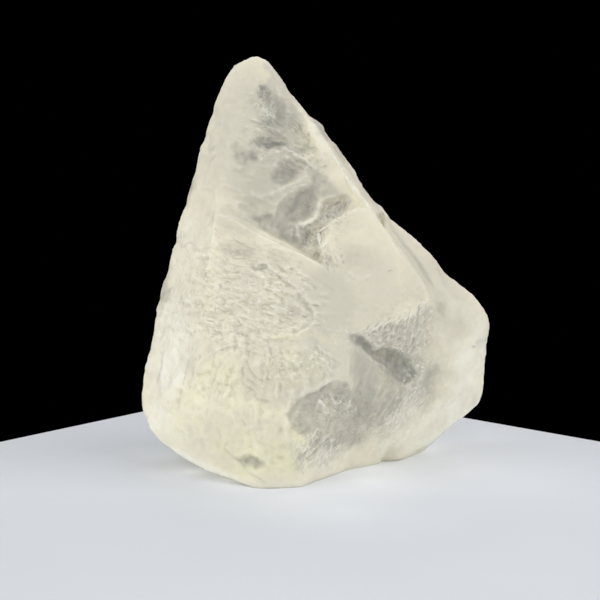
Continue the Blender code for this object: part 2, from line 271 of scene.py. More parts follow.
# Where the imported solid's outline is nudged: ovals of the photo, and how far outwards in millimetres.
NUDGES = [
    ((301, 103), (12, 24), -38, -0.34),
    ((331, 134), (7, 9), -38, -0.22),
    ((370, 193), (8, 12), -38, -0.22),
    ((385, 210), (6, 8), -38, 0.25),
    ((170, 255), (14, 20), 10, -0.15),
    ((163, 290), (12, 22), 10, -0.13),
    ((152, 340), (12, 16), 10, -0.12),
    ((208, 128), (10, 20), 15, -0.20),
    ((199, 150), (6, 8), 15, 0.04),
    ((143, 402), (8, 14), 0, 0.12),
    ((190, 188), (10, 14), 15, 0.16),
    ((158, 306), (8, 6), 0, 0.20),
    ((440, 266), (12, 8), 45, -0.15),
    ((180, 222), (10, 14), 15, 0.20),
    ((486, 350), (10, 16), 0, -0.20),
    ((482, 394), (8, 16), 0, 0.20),
    ((460, 284), (14, 10), -40, 0.15),
]

# Where small shell-shaped chips are strewn: corners, how many, their half lengths in pixels, the way they
# lie in degrees, which varies by the spread, and how deep they are in millimetres.
CHIP_SPREAD = 25
CHIPPED = [
    ([(200, 292), (280, 262), (320, 285), (328, 330), (262, 345), (205, 335)],
      100, (1.5, 5.0), 15, (0.03, 0.09)),
    ([(257, 86), (276, 86), (300, 118), (330, 172), (318, 172), (282, 148), (262, 132)],
      50, (1.5, 4.0), 40, (0.03, 0.09)),
    ([(296, 224), (320, 226), (348, 262), (330, 272), (305, 250)], 30, (1.5, 3.5), 60, (0.04, 0.10)),
    ([(262, 352), (330, 350), (338, 372), (300, 382), (262, 376)], 16, (1.5, 3.5), 60, (0.02, 0.06)),
    ([(320, 390), (354, 390), (354, 414), (320, 414)], 14, (1.5, 3.5), 20, (0.05, 0.12)),
    ([(400, 366), (424, 360), (424, 392), (400, 392)], 14, (1.5, 3.5), 120, (0.05, 0.12)),
    ([(336, 328), (352, 332), (372, 352), (350, 352)], 12, (1.5, 3.0), 50, (0.04, 0.10)),
    ([(160, 300), (200, 230), (212, 330), (205, 420), (150, 410)], 40, (2.0, 5.0), 80, (0.03, 0.06)),
]

# How far a corner stands out is told by the corners that are up to so many edges away, and stored as a share
# of this range.
NEIGHBOURHOOD = 15
RELIEF_RANGE = 0.2 * MM

# Parts of the front that one sees into: the middle and the half widths of an oval in photo pixels, its turn in
# degrees, and how clear it is. Their colour is greyed by a painted shade for the dark that shows through them.
# Veils make the other sides this clear, and the lines of white hide this share.
VEILS = 0.7
WHITE_LINES_HIDE = 0.85
CLEAR_OVALS = [
    ((266, 94), (9, 8), -20, 1.0),
    ((279, 112), (8, 15), -28, 0.4),
    ((270, 125), (13, 7), 5, 0.5),
    ((274, 144), (10, 5), 10, 1.6),
    ((264, 140), (12, 4), 8, 0.7),
    ((238, 150), (4, 7), -15, 0.35),
    ((250, 155), (8, 6), -10, 0.5),
    ((238, 171), (10, 4), 15, 0.25),
    ((284, 175), (15, 9), -15, 0.5),
    ((298, 212), (16, 10), -20, 0.4),
    ((250, 213), (12, 8), 30, 0.3),
    ((322, 258), (14, 7), 35, 0.3),
    ((308, 231), (5, 8), 20, 0.7),
    ((288, 233), (16, 7), 28, 0.3),
    ((386, 358), (10, 6), 40, 0.9),
    ((402, 371), (10, 8), 50, 0.8),
    ((430, 379), (4, 13), 22, 0.25),
    ((440, 312), (4, 10), 10, 0.3),
    ((480, 342), (5, 3), 0, 0.25),
    ((372, 398), (8, 18), 15, 0.45),
    ((320, 440), (14, 7), -35, 0.6),
    ((306, 457), (16, 7), -40, 0.35),
    ((240, 251), (20, 8), 10, 0.18),
    ((259, 267), (8, 2.5), -12, 0.4),
    ((192, 186), (4, 10), 15, 0.35),
    ((163, 285), (5, 28), 10, 0.35),
    ((251, 463), (13, 5), 8, 0.6),
]
# The same for areas with straight sides: their corners, how clear they are and how soft their edge is.
CLEAR_AREAS = [
    ([(357, 406), (370, 405), (384, 399), (398, 396), (405, 398), (400, 409), (391, 419), (380, 427),
      (368, 430), (360, 421)], 0.5, 3),
    ([(340, 430), (356, 424), (372, 430), (360, 444), (346, 448), (334, 440)], 0.4, 4),
    ([(270, 96), (284, 102), (299, 116), (307, 130), (318, 150), (300, 154), (284, 148), (268, 132)],
      0.38, 4),
    ([(310, 176), (318, 171), (332, 182), (351, 200), (322, 199), (312, 190)], 0.45, 4),
    ([(283, 200), (296, 191), (312, 188), (318, 199), (318, 211), (308, 219), (295, 223), (283, 232),
      (272, 230), (268, 221)], 0.6, 4),
    ([(246, 216), (268, 213), (285, 221), (300, 225), (311, 233), (310, 244), (304, 250), (296, 246),
      (280, 239), (262, 229)], 0.68, 3),
    ([(322, 203), (335, 199), (353, 201), (346, 211), (331, 218), (317, 226), (313, 220)], 0.4, 2),
    ([(312, 117), (322, 123), (326, 133), (339, 146), (350, 160), (343, 163), (333, 148), (321, 136)],
      0.45, 2),
    ([(350, 160), (356, 168), (362, 186), (381, 208), (378, 211), (362, 194), (350, 177), (343, 163)],
      0.2, 2),
    ([(378, 209), (386, 222), (402, 244), (416, 264), (431, 286), (434, 284), (424, 266), (408, 246),
      (395, 230), (384, 214)], 0.35, 2),
    ([(348, 335), (361, 336), (370, 343), (376, 348), (389, 347), (398, 350), (406, 355), (412, 363),
      (415, 373), (411, 381), (404, 384), (395, 380), (384, 373), (373, 361), (362, 350), (352, 341)],
      0.85, 2.5),
    ([(371, 333), (385, 326), (399, 320), (412, 313), (425, 301), (429, 305), (424, 330), (418, 352),
      (400, 350), (382, 347), (372, 343)], 0.12, 4),
    ([(356, 350), (371, 358), (384, 368), (399, 381), (404, 390), (396, 408), (384, 422), (372, 428),
      (362, 415), (356, 395), (352, 375)], 0.4, 5),
    ([(286, 414), (298, 400), (316, 389), (334, 380), (347, 383), (358, 400), (366, 418), (352, 440),
      (330, 450), (312, 442), (294, 431)], 0.48, 2),
]
# Areas laced with fine white lines: corners and a strength. Their edge is this soft in pixels.
MARK_EDGE = 4
LACED_AREAS = [
    ([(356, 334), (372, 326), (400, 318), (428, 300), (432, 308), (427, 335), (424, 352), (406, 356),
      (397, 350), (380, 347), (370, 340)], 1.0),
    ([(408, 354), (424, 350), (424, 388), (408, 394), (414, 374)], 0.5),
    ([(384, 412), (402, 396), (426, 380), (422, 404), (396, 434), (376, 440)], 0.8),
    ([(286, 440), (320, 430), (346, 444), (330, 466), (296, 476)], 0.7),
    ([(310, 232), (320, 206), (352, 202), (320, 226), (332, 258), (322, 262), (306, 252)], 0.7),
    ([(258, 88), (274, 88), (280, 112), (268, 128), (256, 116)], 0.5),
]
# Whiter ovals: milkier stone, and painted light that brightens the lower left part and the lower right edge.
WHITE_AND_LIT_OVALS = [
    ((172, 345), (20, 60), 8, 1.0),
    ((186, 260), (14, 50), 12, 0.4),
    # Painted light on the lower left part.
    ((205, 425), (70, 44), 8, 0.25),
    ((466, 374), (18, 32), 3, 0.9),
    ((476, 340), (12, 34), 0, 0.8),
    ((160, 415), (14, 20), 0, 0.7),
    # Painted light on the lower right edge.
    ((448, 418), (52, 20), -36, 1.0),
    ((388, 443), (22, 8), -25, 0.7),
    ((462, 300), (26, 14), 40, 0.4),
]
# Areas with small painted glints: corners and a strength.
GLINT_AREAS = [
    ([(314, 398), (352, 396), (354, 412), (342, 420), (316, 414)], 1.0),
    ([(336, 328), (380, 330), (384, 346), (352, 342)], 0.7),
    ([(404, 364), (424, 362), (420, 388), (400, 384)], 0.7),
    ([(200, 262), (300, 262), (325, 330), (262, 350), (205, 340)], 0.35),
    (SHEET, 0.4),
]
# Lines of white, points, a half width in pixels and a strength: milky lines in the stone, and painted
# highlights along edges and ridges, painted glints and painted light on the lower left edge, which faces the
# floor.
WHITE_AND_HIGHLIGHT_LINES = [
    # A painted highlight along the top edge of the left front plate.
    ([(211, 213), (233, 218), (256, 229), (273, 239), (291, 247), (312, 259), (332, 274)], 1.2, 1.0),
    # A painted highlight along the left edge of that plate.
    ([(220, 214), (214, 226), (207, 238), (199, 252)], 1.5, 0.5),
    ([(279, 148), (292, 153), (300, 158), (312, 168), (322, 175)], 1.6, 0.8),
    ([(252, 187), (263, 195), (272, 192), (283, 188), (293, 182), (303, 172), (307, 168)], 2.2, 0.7),
    ([(308, 169), (298, 184), (288, 199), (279, 210)], 3.0, 0.45),
    ([(296, 224), (306, 222), (314, 218), (318, 211), (319, 202)], 2.0, 0.95),
    ([(315, 217), (320, 206)], 3.0, 0.7),
    ([(296, 224), (298, 231), (298, 238)], 1.8, 0.7),
    ([(321, 201), (328, 197), (337, 195)], 1.1, 0.7),
    ([(349, 270), (354, 277), (362, 280), (370, 276)], 1.0, 0.8),
    ([(255, 263), (267, 264), (279, 274), (289, 282), (298, 288)], 1.2, 0.5),
    ([(298, 290), (308, 301), (315, 314), (313, 324)], 1.1, 0.4),
    ([(352, 332), (367, 329), (380, 327)], 0.9, 0.5),
    ([(431, 336), (439, 334), (447, 336)], 1.0, 0.7),
    ([(432, 360), (438, 374), (452, 384)], 1.0, 0.3),
    ([(409, 315), (421, 307), (429, 297)], 1.3, 0.7),
    ([(352, 341), (372, 358), (386, 369), (399, 381)], 1.2, 0.25),
    ([(372, 343), (372, 348), (376, 349), (380, 345)], 1.1, 1.0),
    ([(378, 338), (383, 344), (388, 341)], 1.0, 0.8),
    ([(386, 334), (391, 341), (397, 338)], 1.0, 0.8),
    ([(400, 346), (404, 356), (409, 366)], 1.2, 0.7),
    ([(407, 342), (414, 354), (418, 366)], 1.2, 0.8),
    ([(411, 338), (417, 352), (420, 368)], 1.2, 0.8),
    ([(403, 366), (408, 374), (413, 383)], 1.0, 0.8),
    ([(380, 408), (386, 400), (393, 394)], 1.0, 0.5),
    ([(386, 420), (396, 408), (408, 399)], 1.4, 0.6),
    ([(394, 432), (408, 416), (421, 403)], 1.4, 0.5),
    # Painted glints.
    ([(318, 403), (324, 402)], 1.3, 1.0),
    ([(323, 406), (328, 408)], 1.3, 1.0),
    ([(333, 403), (342, 401)], 1.4, 1.0),
    ([(344, 404), (351, 405)], 1.4, 1.0),
    ([(344, 409), (349, 407)], 1.2, 0.9),
    ([(323, 414), (329, 413)], 1.2, 0.8),
    ([(306, 401), (311, 401)], 1.2, 0.8),
    ([(370, 336), (374, 342), (377, 347), (381, 347), (383, 341)], 1.1, 1.0),
    ([(372, 330), (378, 334), (380, 340)], 1.0, 0.8),
    ([(385, 329), (391, 335), (396, 331)], 1.0, 0.7),
    ([(411, 380), (415, 377)], 1.1, 0.9),
    ([(413, 370), (417, 368)], 1.1, 0.8),
    ([(316, 345), (324, 350), (335, 360), (343, 367)], 3.0, 0.9),
    ([(300, 396), (318, 387), (333, 379)], 3.0, 0.45),
    ([(275, 88), (296, 104), (310, 126), (327, 150), (345, 178), (362, 199)], 5.0, 0.5),
    ([(272, 103), (275, 108), (270, 113), (276, 118)], 1.2, 0.7),
    ([(246, 148), (249, 158), (244, 168)], 1.2, 0.5),
    ([(399, 387), (383, 412), (370, 427)], 1.2, 0.5),
    ([(404, 396), (394, 416), (380, 432)], 1.4, 0.5),
    ([(366, 364), (364, 384), (369, 402)], 1.0, 0.3),
    ([(352, 452), (334, 462), (322, 472)], 2.0, 0.6),
    ([(329, 434), (314, 449), (296, 465)], 1.3, 0.7),
    ([(325, 453), (312, 461), (302, 470)], 1.2, 0.7),
    ([(318, 436), (306, 447), (292, 457)], 1.1, 0.6),
    ([(338, 446), (322, 459), (310, 472)], 1.1, 0.6),
    # Painted light on the lower left edge, which faces the floor.
    ([(147, 421), (160, 441), (185, 457), (215, 471), (240, 481)], 4.0, 1.0),
]
# Dark, fine lines, the same: painted shade in creases, along edges and in small hollows, and dark lines and
# specks in the stone.
CREASES = [
    ([(234, 438), (226, 446), (232, 455), (239, 461)], 1.6, 0.2),
    ([(246, 469), (258, 478), (266, 484)], 1.6, 0.3),
    (FORKED_CRACK, 1.3, 0.2),
    (UPPER_BRANCH, 1.2, 0.15),
    (LOWER_BRANCH, 1.2, 0.15),
    ([(220, 350), (224, 350)], 1.0, 1.0),
    ([(386, 270), (390, 270)], 0.9, 1.0),
    ([(471, 346), (475, 346)], 0.9, 1.0),
    # Painted shadow in a small hollow.
    ([(252, 264), (258, 269), (267, 266)], 1.2, 0.7),
    ([(261, 266), (279, 276), (289, 283), (296, 288)], 0.8, 0.5),
    ([(208, 357), (220, 350), (236, 348), (256, 353)], 1.0, 0.2),
    ([(378, 211), (386, 226), (402, 248), (416, 268), (430, 289)], 1.0, 0.5),
    ([(233, 215), (256, 225), (273, 235), (291, 243), (312, 255)], 0.9, 0.6),
    ([(352, 378), (359, 401), (356, 430), (350, 452)], 0.9, 0.4),
    (LEFT_SEAM, 1.6, 0.2),
    (OUTER_SEAM, 1.4, 0.4),
    ([(244, 410), (248, 424), (250, 436)], 1.2, 0.3),
    ([(217, 428), (221, 438), (218, 446)], 1.4, 0.3),
    ([(276, 272), (284, 281), (292, 284)], 1.4, 0.5),
    ([(311, 275), (325, 284), (335, 291)], 1.2, 0.4),
    ([(250, 268), (257, 267), (264, 263)], 1.4, 0.7),
    ([(250, 276), (256, 279)], 1.0, 0.5),
    ([(262, 302), (270, 305), (278, 301)], 1.0, 0.6),
    ([(254, 310), (265, 310)], 1.0, 0.5),
    ([(237, 303), (242, 310)], 1.0, 0.4),
    ([(230, 327), (246, 334), (250, 341)], 1.1, 0.5),
]
# Ovals where the colour is darker, partly painted shade such as the thin shadow along the upper edge of the
# right front plate.
DARKER_OVALS = [
    ((242, 128), (30, 70), 12, 1.0),
    ((268, 116), (18, 36), -25, 1.3),
    # A painted shadow along the upper edge of the right front plate.
    ((330, 216), (24, 7), -30, 0.9),
    ((328, 302), (36, 44), 0, 1.0),
    ((355, 385), (20, 40), 0, 0.8),
    ((432, 350), (14, 24), 0, 0.6),
    ((278, 384), (40, 24), 0, 0.85),
    ((235, 222), (30, 14), 25, 0.8),
    ((250, 70), (20, 16), 0, 0.6),
    ((275, 180), (50, 36), 0, 1.3),
    ((278, 82), (9, 26), -32, 1.4),
    ((318, 124), (8, 20), -35, 0.8),
    ((438, 292), (32, 54), -38, 0.7),
    ((245, 440), (60, 36), 15, 0.5),
    ((335, 140), (16, 44), -35, 0.25),
    ((376, 206), (12, 22), -40, 0.5),
    ((412, 250), (10, 40), -36, 0.5),
    ((290, 300), (80, 56), 10, 0.55),
    ((360, 290), (50, 50), 0, 0.6),
    ((318, 362), (26, 28), 0, 1.0),
    ((342, 222), (30, 14), -20, 0.5),
    ((345, 350), (30, 34), 0, 0.8),
    ((414, 376), (20, 30), -10, 1.3),
    ((396, 404), (20, 14), -40, 0.6),
    ((385, 428), (34, 14), -25, 0.25),
    ((325, 450), (30, 16), -10, 0.6),
    ((280, 106), (20, 30), -35, 1.5),
    ((265, 152), (24, 18), 0, 1.4),
    ((440, 318), (14, 22), 0, 0.3),
]
# Yellower ovals.
YELLOW_OVALS = [
    ((245, 450), (40, 26), 15, 1.0),
    ((226, 410), (60, 44), 10, 0.55),
    ((288, 450), (28, 26), 0, 0.8),
    ((288, 336), (20, 5), 5, 0.8),
    ((322, 338), (3, 2), 0, 1.0),
    ((264, 338), (3, 2), 0, 1.0),
    ((305, 140), (8, 26), -25, 0.5),
    ((290, 370), (40, 20), -15, 0.5),
]

# The stone's colours, and the painted light and shade laid over them. Those that are laid over others each have
# the share that they cover.
CREAM = (0.86, 0.81, 0.64)
YELLOW = (0.91, 0.88, 0.56)
MOTTLES = ((0.66, 0.63, 0.50), 0.17)
# Milky white, and painted highlights and light.
MILK_AND_PAINTED_LIGHT = ((0.95, 0.92, 0.78), 1.0)
CLOUDS = ((0.76, 0.71, 0.58), 0.6)
# Darkening, partly painted shade.
DARKENING = ((0.56, 0.535, 0.445), 0.65)
# Painted shade for the dark that shows through clear parts.
SEEN_THROUGH_SHADE = ((0.48, 0.49, 0.45), 0.6)
WRINKLE_SHADE = ((0.45, 0.42, 0.34), 0.35)
HOLLOW_SHADE = ((0.45, 0.42, 0.34), 0.34)
CREST_LIGHT = ((0.93, 0.90, 0.80), 0.3)
GAP_SHADE = ((0.44, 0.43, 0.38), 0.2)
LACE = ((0.93, 0.90, 0.80), 0.8)
CREASE_SHADE = ((0.40, 0.38, 0.31), 0.6)
# Painted glints.
PAINTED_GLINTS = ((0.97, 0.94, 0.84), 1.0)
BUMP = 0.1 * MM

# The floor: its far corner, which way its two edges run from there, how long they are, and its two shades.
FLOOR_CORNER = Vector((-6.05 * MM, 50.9 * MM, 0))
FLOOR_LEFT = Vector((-0.663, -0.749, 0))
FLOOR_RIGHT = Vector((0.739, -0.674, 0))
FLOOR_SIDE = 600 * MM
FLOOR_SHADES = ((0.63, 0.655, 0.70), (0.66, 0.685, 0.73))
# Where the floor is given a painted glow, mostly standing in for light that comes through the stone, and
# elsewhere lightening the shadow near the stone and the front of the floor: a place and a radius in
# millimetres, and how bright.
GLOW_COLOUR = (0.97, 0.97, 0.94, 1)
FLOOR_GLOW = [
    ((-15, -5), 8.5, 0.30),
    ((-18, 3), 12, 0.08),
    ((7, -3), 10, 0.16),
    ((12, 8), 13, 0.30),
    ((22, 14), 24, 0.12),
    ((18, -5), 24, 0.10),
    ((-3, -18), 18, 0.08),
    ((-9.5, -9.5), 8, 0.30),
    ((6, -10), 14, 0.20),
    ((3, -25), 20, 0.09),
    ((0, -80), 70, 0.06),
]

# The lamps: a place and a size in metres, and a power in watts. All of them face one point in the crystal.
LAMPS = {
    "left_softbox": ((-0.55, -0.25, 0.26), 0.70, 3.7),
    "right_softbox": ((0.55, -0.22, 0.26), 0.70, 3.4),
    "top_softbox": ((0.0, 0.0, 0.60), 0.90, 2.3),
    "front_fill": ((0.0, -0.60, 0.20), 0.70, 1.1),
    "back_fill": ((0.1, 0.60, 0.30), 0.70, 1.1),
}
LAMPS_AIM = Vector((0, 0, 20 * MM))


def add_object(name, data):
    obj = bpy.data.objects.new(name, data)
    bpy.context.scene.collection.objects.link(obj)
    return obj


def copy_solid():
    """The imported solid's mesh, with its split corners joined."""
    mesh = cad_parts[CRYSTAL].data.copy()
    bm = bmesh.new()
    bm.from_mesh(mesh)
    bmesh.ops.remove_doubles(bm, verts=bm.verts, dist=JOINED_WITHIN)
    bm.to_mesh(mesh)
    bm.free()
    mesh.materials.clear()
    return add_object("calcite_point", mesh)


def apply_modifiers(obj):
    """Keeps the mesh that the modifiers make, and neither them nor their vertex groups."""
    graph = bpy.context.evaluated_depsgraph_get()
    mesh = bpy.data.meshes.new_from_object(obj.evaluated_get(graph))
    obj.modifiers.clear()
    obj.data = mesh
    obj.vertex_groups.clear()


def add_group(obj, name, amount, steps):
    """A vertex group that holds each corner's amount, rounded to so many steps from 0 to 1."""
    group = obj.vertex_groups.new(name=name)
    for weight in np.linspace(1 / steps, 1, steps):
        members = np.nonzero(np.abs(amount - weight) <= 0.5 / steps)[0]
        group.add(members.tolist(), weight, "REPLACE")


def add_smoothing(obj, name, rounds, group=""):
    step = obj.modifiers.new(name, "SMOOTH")
    step.factor = 0.5
    step.iterations = rounds
    step.vertex_group = group


def refine(obj):
    """An even, fine mesh of the same shape, with its edges worn round apart from the sharp lines."""
    step = obj.modifiers.new("even", "REMESH")
    step.mode = "VOXEL"
    step.voxel_size = VOXEL
    step.use_smooth_shade = True
    apply_modifiers(obj)
    surface = Surface(obj.data)
    height = surface.places[:, 2]
    lines = np.zeros(len(height))
    for points, strength, reach, ends in SHARP_LINES:
        add_line(surface, lines, curve(points), strength, reach, 1.0, ends)
    sharp = np.maximum(lines, SHARP_AWAY * (1 - surface.front))
    sharp = np.maximum(sharp, 1 - smooth(0, SHARP_BASE, height))
    sharp = np.maximum(sharp, SHARP_TIP * smooth(*TIP_HEIGHTS, height))
    melted = np.zeros(len(height))
    for points, first, last in MELTED_LINES:
        melted = np.maximum(melted, melt(surface, curve(points), first, last))
    add_group(obj, "melt", melted * (1 - lines), 20)
    add_group(obj, "round", 1 - sharp, 20)
    add_smoothing(obj, "melt", MELTING, "melt")
    add_smoothing(obj, "round", ROUNDING, "round")
    add_smoothing(obj, "soften", SOFTENING)
    apply_modifiers(obj)


def thin(obj):
    """Fewer triangles, first where the surface faces away from the photograph, then wherever it is plain."""
    away = 1 - Surface(obj.data).front
    add_group(obj, "away", away, 10)
    triangles = 2 * len(obj.data.polygons)
    kept = 1 - THINNED_AWAY * np.count_nonzero(away > 0.95) / len(away)
    for group, ratio in (("away", kept), ("", TRIANGLES / (triangles * kept))):
        step = obj.modifiers.new("thin", "DECIMATE")
        step.vertex_group = group
        step.ratio = ratio
        step.use_collapse_triangulate = True
    apply_modifiers(obj)
    set_places(obj.data, get_places(obj.data))


def get_places(mesh):
    places = np.zeros(len(mesh.vertices) * 3)
    mesh.vertices.foreach_get("co", places)
    return places.reshape(-1, 3)


def set_places(mesh, places):
    """Moves the corners of a mesh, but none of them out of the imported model's box."""
    low, high = np.array(CAD_BOX)
    mesh.vertices.foreach_set("co", np.clip(places, low, high).ravel())
    mesh.update()


def smooth(low, high, value):
    """0 up to the low value, 1 from the high one on, and a soft rise in between."""
    share = np.clip((value - low) / (high - low), 0, 1)
    return share * share * (3 - 2 * share)


def bell(distance, width):
    return np.exp(-(distance / width) ** 2)


def fade_ends(along, share):
    """1 along a line, falling to 0 over this share of it at both ends."""
    return smooth(0, share, along) * smooth(0, share, 1 - along)


class Surface:
    """The corners of a mesh as arrays: where they are, how they face and where the photo shows them."""

    def __init__(self, mesh):
        self.places = get_places(mesh)
        normals = np.zeros(len(mesh.vertices) * 3, np.float32)
        mesh.vertex_normals.foreach_get("vector", normals)
        self.normals = normals.reshape(-1, 3)
        offset = self.places - np.array(CAMERA_PLACE)
        pixels = LENS_MM / SENSOR_MM * PHOTO_SIZE / (-offset @ np.array(CAMERA_BACK))
        across = PHOTO_SIZE / 2 + offset[:, 0] * pixels
        down = PHOTO_SIZE / 2 - offset @ np.array(CAMERA_UP) * pixels
        self.photo = np.stack([across, down], axis=1)
        self.front = smooth(*FACING, self.normals @ np.array(CAMERA_BACK))
        self.warp = self.waver(WARP_WAVE, 3.7, 41.3)

    def noise(self, wavelength, seed, stretch=(1, 1, 1)):
        """Smooth noise from about -1 to 1 at each place."""
        scaled = self.places / wavelength * np.array(stretch) + seed
        return np.array([noise.noise(place) for place in scaled])

    def waver(self, wavelength, seed, other_seed):
        """A smooth, random way for each corner to stray in the photo."""
        return np.stack([self.noise(wavelength, seed), self.noise(wavelength, other_seed)], axis=1)

    def near(self, line, reach):
        """The corners on the front within this many pixels of a line."""
        corners = np.array(line)
        low, high = corners.min(axis=0) - reach, corners.max(axis=0) + reach
        inside = np.all((self.photo > low) & (self.photo < high), axis=1) & (self.front > 0)
        return np.nonzero(inside)[0]

    def follow(self, line, reach, warp):
        """The corners near a line that wavers, their distance to it, side of it and place along it."""
        near = self.near(line, reach)
        return near, *measure(self.photo[near] + self.warp[near] * warp, line)


def curve(points, steps=5):
    """A smooth line through the points."""
    ends = [points[0], *points, points[-1]]
    line = []
    for before, start, end, after in zip(ends, ends[1:], ends[2:], ends[3:]):
        p0, p1, p2, p3 = (np.array(point, float) for point in (before, start, end, after))
        for step in range(steps):
            t = step / steps
            bend = 2 * p1 + (p2 - p0) * t + (2 * p0 - 5 * p1 + 4 * p2 - p3) * t * t
            line.append((bend + (3 * p1 - p0 - 3 * p2 + p3) * t ** 3) / 2)
    line.append(np.array(points[-1], float))
    return line


def measure(points, line):
    """Each point's distance to a line, its side of it (1 or -1), and how far along it lies, 0 to 1."""
    best = np.full(len(points), np.inf)
    side = np.ones(len(points))
    along = np.zeros(len(points))
    runs = len(line) - 1
    for number, (start, end) in enumerate(zip(line[:-1], line[1:])):
        start, run = np.array(start, float), np.array(end, float) - np.array(start, float)
        share = np.clip((points - start) @ run / (run @ run), 0, 1)
        gap = points - (start + share[:, None] * run)
        distance = np.hypot(gap[:, 0], gap[:, 1])
        turn = run[0] * (points - start)[:, 1] - run[1] * (points - start)[:, 0]
        nearer = distance < best
        best[nearer] = distance[nearer]
        side[nearer] = np.sign(turn[nearer])
        along[nearer] = (number + share[nearer]) / runs
    return best, side, along


def turned(points, turn, middle=(0, 0)):
    """How far the points lie along and across a direction that is turned by this many degrees."""
    angle = math.radians(turn)
    offset = points - np.array(middle)
    along = offset[:, 0] * math.cos(angle) + offset[:, 1] * math.sin(angle)
    across = -offset[:, 0] * math.sin(angle) + offset[:, 1] * math.cos(angle)
    return along, across


def in_oval(points, middle, halves, turn):
    """1 in the middle of the oval, falling softly to 0 past its edge."""
    along, across = turned(points, turn, middle)
    return 1 - smooth(*OVAL_EDGE, np.hypot(along / halves[0], across / halves[1]))


def is_inside(points, corners):
    inside = np.zeros(len(points), bool)
    for (x1, y1), (x2, y2) in zip(corners, corners[1:] + corners[:1]):
        if y1 == y2:
            continue
        crosses = (y1 > points[:, 1]) != (y2 > points[:, 1])
        inside ^= crosses & (points[:, 0] < (x2 - x1) * (points[:, 1] - y1) / (y2 - y1) + x1)
    return inside


def in_area(points, corners, softness):
    """1 well inside the corners, 0 well outside, with an edge this soft in pixels."""
    distance, _, _ = measure(points, corners + corners[:1])
    signed = np.where(is_inside(points, corners), distance, -distance)
    return smooth(-softness, softness, signed)


def add_line(surface, value, line, strength, width, warp, least=0.3):
    """Raises the value to the strength along a line, falling off over the width."""
    near, distance, _, along = surface.follow(line, 2 * width + MARGIN, warp)
    fall = bell(distance, width) * surface.front[near]
    ends = np.maximum(fade_ends(along, 0.1), least)
    value[near] = np.maximum(value[near], strength * fall * ends)


def melt(surface, line, first, last):
    """How far each corner is to be smoothed away along a line whose half width grows."""
    near, distance, _, along = surface.follow(line, 2 * last, 0)
    value = np.zeros(len(surface.places))
    value[near] = bell(distance, first + (last - first) * along) * surface.front[near]
    return value


def carve_scoops(surface, shift):
    """Scoops shallow hollows, which leave a crest where two of them meet."""
    depth = np.zeros(len(surface.places))
    points = surface.photo + surface.warp * PATCH_WARP
    for middle, halves, turn, deep in SCOOPS:
        along, across = turned(points, turn, middle)
        reach = (along / halves[0]) ** 2 + (across / halves[1]) ** 2
        depth = np.maximum(depth, deep * np.clip(1 - reach, 0, 1))
    shift -= depth * MM * surface.front


def carve_side(surface, shift):
    """Small, broken ledges, one above the other, on the left side."""
    height = surface.places[:, 2] / MM + SIDE_WAVER * surface.warp[:, 0]
    height += SIDE_SLOPE * surface.places[:, 1] / MM
    height += SIDE_SWAY * surface.noise(6 * MM, 5.9)
    broken = smooth(-0.15, 0.3, surface.noise(3.2 * MM, 14.2))
    left = smooth(0.3, 0.75, -surface.normals[:, 0]) * broken
    for low, high in zip(SIDE_LEDGES[:-1], SIDE_LEDGES[1:]):
        share = np.clip((height - low) / (high - low), 0, 1)
        bulge = np.sqrt(share) * (1 - share) * SIDE_SHAPE
        shift += SIDE_BULGE * MM * bulge * left


def carve_ledge(surface, shift, points, drop, reach, warp=2.5):
    near, distance, side, along = surface.follow(curve(points), reach + MARGIN, warp)
    fall = np.clip(1 - distance / reach, 0, 1) ** 2
    depth = fall * smooth(-1.0, 1.0, distance * side) - LIP_HEIGHT * bell(distance, LIP_WIDTH)
    shift[near] -= drop * MM * depth * fade_ends(along, 0.15) * surface.front[near]


def carve_ridge(surface, shift, points, height, width, warp=2.0):
    near, distance, _, along = surface.follow(curve(points), 3 * width + MARGIN, warp)
    shift[near] += height * MM * bell(distance, width) * fade_ends(along, 0.2) * surface.front[near]


def flat_noise(points, wavelengths, seed):
    """The same noise in two dimensions."""
    return np.array([noise.noise((across, down, seed)) for across, down in points / np.array(wavelengths)])


def carve_grain(surface, shift, corners, angle, apart, length, height, seed):
    """Wavering crests that run one way over a patch of the front."""
    near = surface.near(corners, GRAIN_MARGIN)
    points = surface.photo[near] + surface.warp[near] * PATCH_WARP
    waves = flat_noise(np.stack(turned(points, angle), axis=1), (length, apart), seed)
    crests = 1 - CREST_SHAPE * np.abs(waves)
    uneven = 0.25 + smooth(-0.3, 0.3, flat_noise(points, GRAIN_SPOTS, seed + 50))
    amount = in_area(points, corners, GRAIN_EDGE) * surface.front[near] * uneven
    shift[near] += height * MM * crests * amount


def carve_chips(surface, shift, draw, corners, count, halves, lie, depths):
    """Small crescent chips, strewn at random over part of the front."""
    columns, rows = zip(*corners)
    made = 0
    while made < count:
        middle = np.array((draw.uniform(min(columns), max(columns)), draw.uniform(min(rows), max(rows))))
        if not is_inside(middle[None], corners)[0]:
            continue
        turn = math.radians(draw.gauss(lie, CHIP_SPREAD))
        half = draw.uniform(*halves)
        sag = half * draw.uniform(0.3, 0.7)
        side = half * np.array((math.cos(turn), math.sin(turn)))
        bow = sag * np.array((-math.sin(turn), math.cos(turn)))
        points = [middle + side, middle + bow, middle - side]
        carve_ledge(surface, shift, points, draw.uniform(*depths), half * 1.3, 0.5)
        made += 1


